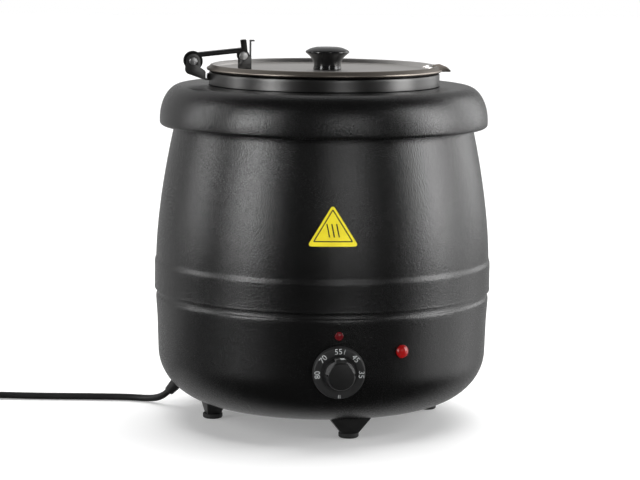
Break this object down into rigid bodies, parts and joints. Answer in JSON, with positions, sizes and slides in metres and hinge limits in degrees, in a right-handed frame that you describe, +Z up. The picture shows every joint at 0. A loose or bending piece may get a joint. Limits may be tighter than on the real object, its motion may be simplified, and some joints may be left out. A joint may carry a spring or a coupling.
{
  "type": "soup kettle",
  "caption": "Round black wet-heat soup kettle with a lift-out steel pot, a hinged lid with ladle notch, thermostat dial and mains lead.",
  "frame": {"origin": "on the worktop, under the kettle's vertical axis", "axes": "+Z up along the kettle's axis, -Y towards the dial, -X towards the lid's hinge, +X towards the ladle notch"},
  "size_m": [0.634, 0.3645, 0.3819],
  "materials": {
    "black_enamel": "fine textured powder coat, semi-gloss",
    "bright_zinc": "zinc plated",
    "pan_steel": "satin",
    "element_sheath": "heat-darkened satin",
    "galvanised_plate": "galvanised, matt",
    "foot_plastic": "fine grained",
    "pad_rubber": "matt",
    "pale_phenolic": "moulded",
    "block_ceramic": "glazed",
    "capillary_copper": "drawn",
    "wire_sleeve": "braided sleeve",
    "lamp_red": "clear moulded lens",
    "label_yellow": "printed film",
    "gland_plastic": "moulded",
    "cord_rubber": "satin",
    "pin_brass": "nickel plated",
    "dial_plastic": "moulded, white print",
    "pot_steel": "satin",
    "hinge_steel": "satin",
    "arm_steel": "satin",
    "lid_steel": "spun satin",
    "knob_plastic": "moulded gloss"
  },
  "bodies": {
    "kettle": {"lower_shell": "black_enamel", "upper_shell": "black_enamel", "top_collar": "black_enamel", "collar_posts": "bright_zinc", "collar_screws": "bright_zinc", "water_pan": "pan_steel", "heating_element": "element_sheath", "element_clamp": "bright_zinc", "clamp_nut": "bright_zinc", "base_plate": "galvanised_plate", "base_screws": "bright_zinc", "foot_1": "foot_plastic", "foot_2": "foot_plastic", "foot_3": "foot_plastic", "foot_4": "foot_plastic", "foot_pad_1": "pad_rubber", "foot_pad_2": "pad_rubber", "foot_pad_3": "pad_rubber", "foot_pad_4": "pad_rubber", "foot_screws": "bright_zinc", "foot_nuts": "bright_zinc", "thermostat_body": "pale_phenolic", "thermostat_screws": "bright_zinc", "thermostat_capillary": "capillary_copper", "thermal_cutout": "pale_phenolic", "terminal_block": "block_ceramic", "earth_stud": "bright_zinc", "inner_wiring": "wire_sleeve", "index_lamp": "lamp_red", "pilot_lamp": "lamp_red", "lamp_holder": "pale_phenolic", "heat_label": "label_yellow", "cord_gland": "gland_plastic", "gland_nut": "gland_plastic", "mains_cord": "cord_rubber", "cord_coil": "cord_rubber", "cord_tie": "cord_rubber", "cord_tail": "cord_rubber", "plug_body": "cord_rubber", "plug_pins": "pin_brass"},
    "dial": {"dial_knob": "dial_plastic", "dial_grip": "dial_plastic", "dial_shaft": "bright_zinc"},
    "pot": {"food_pot": "pot_steel", "hinge_bracket": "hinge_steel", "bracket_rivets": "bright_zinc", "base_pin": "bright_zinc"},
    "arm": {"link_arm": "arm_steel"},
    "lid": {"lid": "lid_steel", "lid_bracket": "hinge_steel", "lid_rivets": "bright_zinc", "lid_pin": "bright_zinc", "lid_knob": "knob_plastic", "knob_screw": "bright_zinc"}
  },
  "joints": [
    {"name": "dial_turn", "type": "hinge", "parent": "kettle", "child": "dial", "pos_m": [0, -0.169, 0.076], "axis": [0, 1, 0], "range_deg": [-180, 90]},
    {"name": "pot_lift", "type": "slide", "parent": "kettle", "child": "pot", "axis": [0, 0, 1], "range_m": [0, 0.28]},
    {"name": "arm_swing", "type": "hinge", "parent": "pot", "child": "arm", "pos_m": [-0.132, 0, 0.3605], "axis": [0, -1, 0], "range_deg": [0, 110]},
    {"name": "lid_tilt", "type": "hinge", "parent": "arm", "child": "lid", "pos_m": [-0.082, 0, 0.366], "axis": [0, -1, 0], "range_deg": [-6, 0]}
  ],
  "couplings": [
    {"joint": "lid_tilt", "follows": "arm_swing", "ratio": -0.05}
  ]
}
